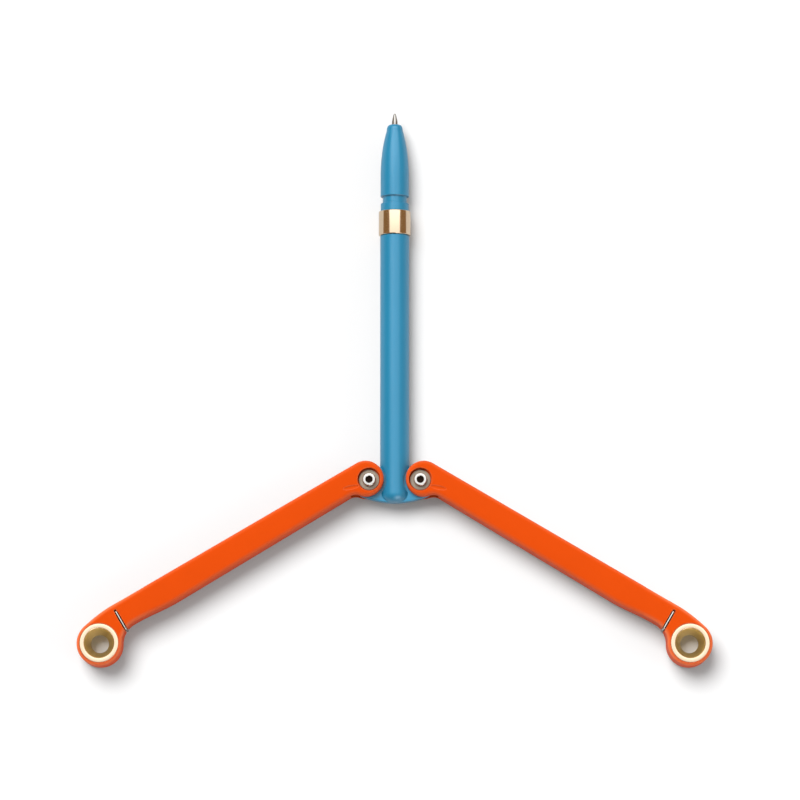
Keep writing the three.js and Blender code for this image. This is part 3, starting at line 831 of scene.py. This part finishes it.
class BUTTERFLY_OT_barrel(bpy.types.Operator):
    """Make the barrel with its rounded base and its tang"""

    bl_idname = "butterfly.barrel"
    bl_label = "Barrel"

    def execute(self, context):
        settings = context.scene.butterfly_pen
        s = settings.pen
        front = BAND_LOW.y - PIVOT_Y - GAP
        bore_end = front - s.bore_length
        chamfer = 0.2 * MM
        round_centre = (s.barrel_radius - s.base_round, s.base_round - s.base_depth)
        section = [
            (0, -s.base_depth), *arc(round_centre, s.base_round, -QUARTER, 0, 14),
            (s.barrel_radius, front - chamfer), (s.barrel_radius - chamfer, front), (s.bore_radius, front),
            (s.bore_radius, bore_end), (0, bore_end),
        ]
        tang = plate(tang_outline(s), -s.tang_half, s.tang_half, s.tang_edge, 3)
        body = combined(spun(section, settings.stage.facets), tang, "UNION")
        for side in SIDES.values():
            centre = (side * PIVOT_X, 0)
            for face in FACES.values():
                low, high = sorted((face * s.tang_half, face * 2 * s.barrel_radius))
                body = without(body, disc(s.pocket_radius, low, high, steps=128, centre=centre))
            body = without(body, disc(s.pivot_hole, -2 * s.tang_half, 2 * s.tang_half, steps=48, centre=centre))
        finished("pen_barrel", body, blue_plastic(settings.finish), "pen", "barrel", PEN_PLACE)
        return {"FINISHED"}


class BUTTERFLY_OT_nose(bpy.types.Operator):
    """Make the tapered nose with its groove and collar"""

    bl_idname = "butterfly.nose"
    bl_label = "Nose"

    def execute(self, context):
        settings = context.scene.butterfly_pen
        s = settings.pen
        rear = BAND_HIGH.y - PIVOT_Y + GAP
        groove_rear = rear + s.collar_length
        groove_front = groove_rear + s.groove_width
        shoulder = groove_front + s.nose_straight
        front = NOSE_HIGH.y - PIVOT_Y
        end = front - s.nose_lip
        edge, wall, taper_power = 0.14 * MM, 0.4 * MM, 2.3
        hole_rim, hole_depth, bore_depth = 0.1 * MM, 5 * MM, 6 * MM
        taper = [(s.nose_radius - (s.nose_radius - s.nose_end_radius) * t ** taper_power,
                  shoulder + (end - shoulder) * t) for t in steps_to_one(40)]
        lip = [(s.nose_lip_radius + (s.nose_end_radius - s.nose_lip_radius) * math.cos(QUARTER * t),
                end + s.nose_lip * math.sin(QUARTER * t)) for t in steps_to_one(12)[1:]]
        section = [
            (s.bore_radius - wall, rear), (s.collar_radius - edge, rear), (s.collar_radius, rear + edge),
            (s.collar_radius, groove_rear - edge), (s.collar_radius - edge, groove_rear),
            (s.groove_radius + edge, groove_rear), (s.groove_radius, groove_rear + edge),
            (s.groove_radius, groove_front - edge), (s.groove_radius + edge, groove_front),
            (s.nose_radius - edge, groove_front), (s.nose_radius, groove_front + edge),
            *taper, *lip, (s.tip_hole, front - hole_rim), (s.tip_hole, front - hole_depth),
            (s.tip_hole + wall, front - bore_depth),
        ]
        body = spun(section, settings.stage.facets)
        finished("pen_nose", body, blue_plastic(settings.finish), "pen", "nose_cone", PEN_PLACE)
        return {"FINISHED"}


class BUTTERFLY_OT_band(bpy.types.Operator):
    """Make the brass band in front of the barrel"""

    bl_idname = "butterfly.band"
    bl_label = "Brass Band"

    def execute(self, context):
        settings = context.scene.butterfly_pen
        edge, bore = settings.pen.band_edge, settings.pen.bore_radius
        inner = (BAND_HIGH.x - BAND_LOW.x) / 2 - edge
        rear, front = BAND_LOW.y - PIVOT_Y, BAND_HIGH.y - PIVOT_Y
        section = [(bore, rear), *arc((inner, rear + edge), edge, -QUARTER, 0, 5),
                   *arc((inner, front - edge), edge, 0, QUARTER, 5), (bore, front)]
        metal = turned_metal("band_brass", settings.finish.brass, 0.16, 0.1)
        finished("pen_band", spun(section, settings.stage.facets), metal, "pen", "brass_band", PEN_PLACE)
        return {"FINISHED"}


class BUTTERFLY_OT_tip(bpy.types.Operator):
    """Make the steel writing tip with its ball"""

    bl_idname = "butterfly.tip"
    bl_label = "Writing Tip"

    def execute(self, context):
        settings = context.scene.butterfly_pen
        s = settings.pen
        rear, apex, front = (place.y - PIVOT_Y for place in (TIP_LOW, TIP_HIGH, NOSE_HIGH))
        cone_start, cone_end = front + 0.25 * MM, apex - s.ball_radius
        step, cone_power = 0.04 * MM, 1.7
        lip = 0.5 * s.ball_radius
        rim = s.ball_radius + lip * 0.5
        cone = [(rim + (s.tip_radius - step - rim) * (1 - t ** cone_power),
                 cone_start + (cone_end - lip - cone_start) * t) for t in steps_to_one(12)]
        section = [(0, rear), (s.tip_radius, rear), (s.tip_radius, front - 0.1 * MM), *cone,
                   (s.ball_radius + lip * 0.3, cone_end - 0.1 * lip), (s.ball_radius * 0.94, cone_end),
                   *arc((0, cone_end), s.ball_radius, 0, QUARTER, 8)[1:-1], (0, apex)]
        metal = turned_metal("tip_steel", settings.finish.tip_steel, 0.2, 0.14)
        finished("writing_tip", spun(section, 64), metal, "pen", "refill_tip", PEN_PLACE)
        return {"FINISHED"}


class BUTTERFLY_OT_handles(bpy.types.Operator):
    """Make the two handles with their channels, forks, bores and slots"""

    bl_idname = "butterfly.handles"
    bl_label = "Handles"

    def execute(self, context):
        settings = context.scene.butterfly_pen
        finish, w = settings.finish, settings.wire
        skin = plastic("orange_plastic", finish.orange, finish.orange_gloss, finish.orange_sheen,
                       finish.rim_orange, ORANGE_BOUNCE)
        shade = dark_shade("slot_shade", finish.slot_shade, 0.0)
        margin = 0.02 * MM
        reach, floor, face = w.slot_half + margin, w.slot_floor - margin, HANDLE_HALF - GAP
        master = handle_mesh(settings)
        for side in SIDES:
            place = handle_place(side)
            piece = finished(f"{side}_handle_moulding", master.copy(), skin, f"{side}_handle_body",
                             f"{side}_handle", place)
            # The walls of the wire's slot get painted shade
            second_finish(piece, shade, place, lambda middle: abs(middle.x - w.reach) < reach
                          and middle.y < w.tip + reach and floor < abs(middle.z) < face)
        master.free()
        return {"FINISHED"}


class BUTTERFLY_OT_rings(bpy.types.Operator):
    """Make the two brass ring weights, countersunk from both faces"""

    bl_idname = "butterfly.rings"
    bl_label = "Ring Weights"

    def execute(self, context):
        settings = context.scene.butterfly_pen
        r, finish = settings.ring, settings.finish
        face = HANDLE_HALF - r.sink
        metal = turned_metal("ring_brass", finish.brass, 0.2, 0.16, RING_CENTRE["right"])
        satin = turned_metal("cone_brass", finish.cone_brass, 0.42, 0.16, RING_CENTRE["right"], 0.96)
        section = [(r.radius, -face), (r.radius, face), (r.mouth, face), (r.throat, r.throat_half),
                   (r.throat, -r.throat_half), (r.mouth, -face)]
        for side in SIDES:
            body = softened(spun(section, settings.stage.facets, "Z"), r.edge, 3, math.radians(20))
            place = Matrix.Translation(RING_CENTRE[side])
            ring = finished(f"{side}_brass_ring", body, metal, f"{side}_handle_body",
                            f"{side}_ring_weight", place)
            # The countersinks get a rougher brass that is also paler and yellower, a painted light in their shaded
            # hollow
            second_finish(ring, satin, place, lambda middle: math.hypot(middle.x, middle.y) < r.mouth
                          and r.throat_half < abs(middle.z) < face - r.edge)
        return {"FINISHED"}


def of_kind(items, kind):
    """The items of one kind that a bmesh operator gave."""
    return [item for item in items if isinstance(item, kind)]


def bent_wire(corners, radius, bend):
    """A round wire along corners at right angles, with straight runs and bends."""
    bm = bmesh.new()
    circle = bmesh.ops.create_circle(bm, cap_ends=True, radius=radius, segments=20)["verts"]
    bmesh.ops.translate(bm, verts=circle, vec=corners[0])
    end = list(bm.faces)
    final = len(corners) - 1
    for i in range(1, final + 1):
        here, there = corners[i - 1], corners[i]
        direction = (there - here).normalized()
        trim = (bend if i > 1 else 0) + (bend if i < final else 0)
        grown = bmesh.ops.extrude_face_region(bm, geom=end)["geom"]
        bmesh.ops.delete(bm, geom=end, context="FACES_ONLY")
        bmesh.ops.translate(bm, verts=of_kind(grown, bmesh.types.BMVert),
                            vec=direction * ((there - here).length - trim))
        end = of_kind(grown, bmesh.types.BMFace)
        if i < final:
            after = (corners[i + 1] - there).normalized()
            turned = bmesh.ops.spin(bm, geom=end, cent=there - direction * bend + after * bend,
                                    axis=direction.cross(after), angle=QUARTER, steps=8)
            end = of_kind(turned["geom_last"], bmesh.types.BMFace)
    return bm


class BUTTERFLY_OT_wires(bpy.types.Operator):
    """Make the two wire clips from straight runs and bends of one wire"""

    bl_idname = "butterfly.wires"
    bl_label = "Wire Clips"

    def execute(self, context):
        settings = context.scene.butterfly_pen
        w = settings.wire
        metal = drawn_wire("clip_steel", settings.finish.steel)
        corners = [Vector((w.reach, *corner)) for corner in (
            (w.tip, w.tip_gap), (w.tip, w.leg), (w.back, w.leg), (w.back, -w.leg), (w.tip, -w.leg),
            (w.tip, -w.tip_gap))]
        for side in SIDES:
            finished(f"{side}_wire", bent_wire(corners, w.radius, w.bend), metal, f"{side}_handle_body",
                     f"{side}_wire_clip", handle_place(side))
        return {"FINISHED"}


def cone_cutter(radius_low, radius_high, depth, height, segments):
    """A cone, or a prism with few segments, whose middle is at a height on the Z axis."""
    bm = bmesh.new()
    bmesh.ops.create_cone(bm, cap_ends=True, segments=segments, radius1=radius_low, radius2=radius_high,
                          depth=depth)
    return moved(bm, Matrix.Translation((0, 0, height)))


def headed(p, shank):
    """A screw or a nut: its shank's section turned, with a rounded head and a hexagon socket with a chamfer."""
    top = arc((p.head_radius - p.head_edge, p.head_top - p.head_edge), p.head_edge, 0, QUARTER, 6)
    section = [*shank, (p.head_radius, p.head_seat), *top, (0, p.head_top)]
    chamfer = 0.12 * MM
    socket = cone_cutter(p.socket_radius, p.socket_radius, 2 * p.socket_depth, p.head_top, 6)
    flare = cone_cutter(p.socket_radius - 2 * chamfer, p.socket_radius + 2 * chamfer, 4 * chamfer, p.head_top, 48)
    return without(spun(section, 96, "Z"), socket, flare)


class BUTTERFLY_OT_pivots(bpy.types.Operator):
    """Make the pivot screws, their barrel nuts and the washers under both heads"""

    bl_idname = "butterfly.pivots"
    bl_label = "Pivots"

    def execute(self, context):
        settings = context.scene.butterfly_pen
        p, finish = settings.pivot, settings.finish
        metal = turned_metal("pivot_steel", finish.steel, 0.24, 0.16, PIVOT["right"])
        dull = turned_metal("washer_steel", finish.washer_steel, 0.46, 0.3, PIVOT["right"], 0.2)
        shade = dark_shade("socket_shade", finish.socket_shade, 0.2)
        floor, rim = p.head_top - 1.1 * p.socket_depth, p.head_top - 0.13 * MM
        nut_end = GAP - p.shank_end
        screw = [(0, p.shank_end), (p.shank_radius, p.shank_end), (p.shank_radius, p.head_seat)]
        nut = [(0, nut_end), (p.nut_bore, nut_end), (p.nut_bore, -p.shaft_end), (p.shaft_radius, -p.shaft_end),
               (p.shaft_radius, p.head_seat)]
        low, high = p.washer_seat, p.washer_seat + p.washer_thickness
        washer = [(p.washer_hole, low), (p.washer_radius, low), (p.washer_radius, high), (p.washer_hole, high)]
        for side in SIDES:
            body = f"{side}_handle_body"
            place = {"front": Matrix.Translation(PIVOT[side])}
            place["rear"] = place["front"] @ Matrix.Rotation(math.pi, 4, "X")
            for name, node, shank, face in (("screw", "pivot_screw", screw, "front"),
                                            ("barrel_nut", "pivot_nut", nut, "rear")):
                head = finished(f"{side}_{name}", headed(p, shank), metal, body, f"{side}_{node}",
                                place[face])
                # The inside of the socket gets painted shade
                second_finish(head, shade, place[face], lambda middle: floor < middle.z < rim
                              and math.hypot(middle.x, middle.y) < p.socket_radius)
            for face in FACES:
                flat = softened(spun(washer, 96, "Z"), 0.08 * MM, 2)
                finished(f"{side}_{face}_head_washer", flat, dull, body, f"{side}_{face}_washer",
                         place[face])
        return {"FINISHED"}


class BUTTERFLY_OT_inner(bpy.types.Operator):
    """Give the thrust washers, the refill tube and its spring their materials"""

    bl_idname = "butterfly.inner"
    bl_label = "Inner Pieces"

    def execute(self, context):
        finish = context.scene.butterfly_pen.finish
        bronze = turned_metal("thrust_bronze", finish.bronze, 0.34, 0.2, PIVOT["right"])
        looks = {f"{side}_{face}_thrust_washer": (bronze, "bronze") for side in SIDES for face in FACES}
        looks["refill_tube"] = (plastic("refill_plastic", finish.refill, 0.4, 0.5), "refill_plastic")
        looks["refill_spring"] = (drawn_wire("spring_steel", finish.steel), "steel")
        for node, (material, slot) in looks.items():
            piece = frame["nodes"][node]
            piece.data.materials.clear()
            piece.data.materials.append(material)
        return {"FINISHED"}


# Stage

def floor_material(tone, glow):
    """A white floor that keeps the shadows, and shows as nearly white in metal too."""
    material, tree, shader = new_material("white_floor", Roughness=0.9, Specular_IOR_Level=0.0,
                                          Emission_Color=(1, 1, 1, 1))
    rays = add_node(tree, "LightPath").outputs
    seen = math_node(tree, "MAXIMUM", rays["Is Camera Ray"],
                     math_node(tree, "MAXIMUM", rays["Is Glossy Ray"], rays["Is Transmission Ray"]))
    kept = scaled(tree, rays["Is Glossy Ray"], -MIRRORED_FLOOR_LOSS, 1.0)
    set_inputs(tree, shader, {"Base Color": toned(tree, (tone, tone, tone), kept),
                              "Emission Strength": scaled(tree, seen, glow)})
    return material


def far_light(name, strength, spread, tilt, turn, only_gloss):
    """A wide lamp far away, which lights everything or shows only in gloss."""
    data = bpy.data.lights.new(name, "SUN")
    data.energy = strength
    data.angle = spread
    light = bpy.data.objects.new(name, data)
    source = Vector((math.sin(tilt) * math.cos(turn), math.sin(tilt) * math.sin(turn), math.cos(tilt)))
    light.rotation_euler = (-source).to_track_quat("-Z", "Y").to_euler()
    light.visible_glossy = only_gloss
    light.visible_diffuse = not only_gloss
    bpy.context.scene.collection.objects.link(light)


def studio_world(level, panel):
    """Pale surroundings. Gloss mirrors a bright panel overhead between darker walls."""
    world = bpy.data.worlds.new("studio")
    world.use_nodes = True
    tree = world.node_tree
    way = split(tree, add_node(tree, "TexCoord").outputs["Generated"])
    across = math_node(tree, "DIVIDE", way["X"], PANEL_HALF[0])
    along = math_node(tree, "DIVIDE", math_node(tree, "SUBTRACT", way["Y"], PANEL_SHIFT), PANEL_HALF[1])
    reach = math_node(tree, "ADD", *(math_node(tree, "POWER", math_node(tree, "ABSOLUTE", part), 4.0)
                                     for part in (across, along)))
    edge = add_node(tree, "MapRange", {"Value": reach, "From Min": PANEL_EDGE[1], "From Max": PANEL_EDGE[0],
                                       "To Min": 0.0, "To Max": 1.0}, interpolation_type="SMOOTHSTEP")
    above = math_node(tree, "GREATER_THAN", way["Z"], 0.0)
    inside = math_node(tree, "MULTIPLY", edge.outputs["Result"], above)
    rays = add_node(tree, "LightPath").outputs
    mirrored = mixed(tree, inside, WALLS, grey(tree, scaled(tree, way["Y"], PANEL_RISE, panel)))
    plain = mixed(tree, rays["Is Camera Ray"], (level, level, level), (1, 1, 1))
    set_inputs(tree, tree.nodes["Background"], {"Color": mixed(tree, rays["Is Glossy Ray"], plain, mirrored)})
    return world


def camera_at(s):
    """The camera, which looks down at the pen from the side of the handles."""
    data = bpy.data.cameras.new("camera")
    data.sensor_width = 36
    data.lens = data.sensor_width / 2 / math.tan(s.field / 2)
    data.clip_start = 0.01
    data.clip_end = 100
    camera = bpy.data.objects.new("camera", data)
    back = Vector((0, -math.cos(s.elevation), math.sin(s.elevation)))
    camera.location = Vector((s.target_x, s.target_y, MIDDLE_Z)) + back * s.distance
    camera.rotation_euler = (-back).to_track_quat("-Z", "Y").to_euler()
    bpy.context.scene.collection.objects.link(camera)
    return camera


class BUTTERFLY_OT_stage(bpy.types.Operator):
    """Make the floor, the lights, the surroundings and the camera"""

    bl_idname = "butterfly.stage"
    bl_label = "Stage"

    def execute(self, context):
        scene = context.scene
        s = scene.butterfly_pen.stage
        bm = bmesh.new()
        bmesh.ops.create_grid(bm, x_segments=1, y_segments=1, size=20)
        floor = to_object("floor", bm)
        floor.data.materials.append(floor_material(s.floor_tone, s.floor_glow))
        for name, (tilt, turn) in LAMPS.items():
            far_light(name, getattr(s, name), s.lamp_spread, math.radians(tilt), math.radians(turn), name == "low")
        scene.world = studio_world(s.world, s.panel)
        scene.camera = camera_at(s)
        scene.view_settings.view_transform = "Standard"
        return {"FINISHED"}


OPERATORS = (
    BUTTERFLY_OT_stage,
    BUTTERFLY_OT_barrel,
    BUTTERFLY_OT_nose,
    BUTTERFLY_OT_band,
    BUTTERFLY_OT_tip,
    BUTTERFLY_OT_handles,
    BUTTERFLY_OT_rings,
    BUTTERFLY_OT_wires,
    BUTTERFLY_OT_pivots,
    BUTTERFLY_OT_inner,
)


class BUTTERFLY_PT_panel(bpy.types.Panel):
    """Lists the pieces of the butterfly pen"""

    bl_idname = "BUTTERFLY_PT_panel"
    bl_label = "Butterfly Pen"
    bl_space_type = "VIEW_3D"
    bl_region_type = "UI"
    bl_category = "Butterfly Pen"

    def draw(self, context):
        for operator in OPERATORS:
            self.layout.operator(operator.bl_idname)


CLASSES = (PenSizes, HandleSizes, PivotSizes, RingSizes, WireSizes, Finishes, StageSettings, ButterflyPen,
           *OPERATORS, BUTTERFLY_PT_panel)


def register():
    for cls in CLASSES:
        bpy.utils.register_class(cls)
    bpy.types.Scene.butterfly_pen = PointerProperty(type=ButterflyPen)


def unregister():
    del bpy.types.Scene.butterfly_pen
    for cls in reversed(CLASSES):
        bpy.utils.unregister_class(cls)


def main():
    """Makes the whole pen."""
    register()
    for operator in OPERATORS:
        group, name = operator.bl_idname.split(".")
        getattr(getattr(bpy.ops, group), name)()


if __name__ == "__main__":
    main()
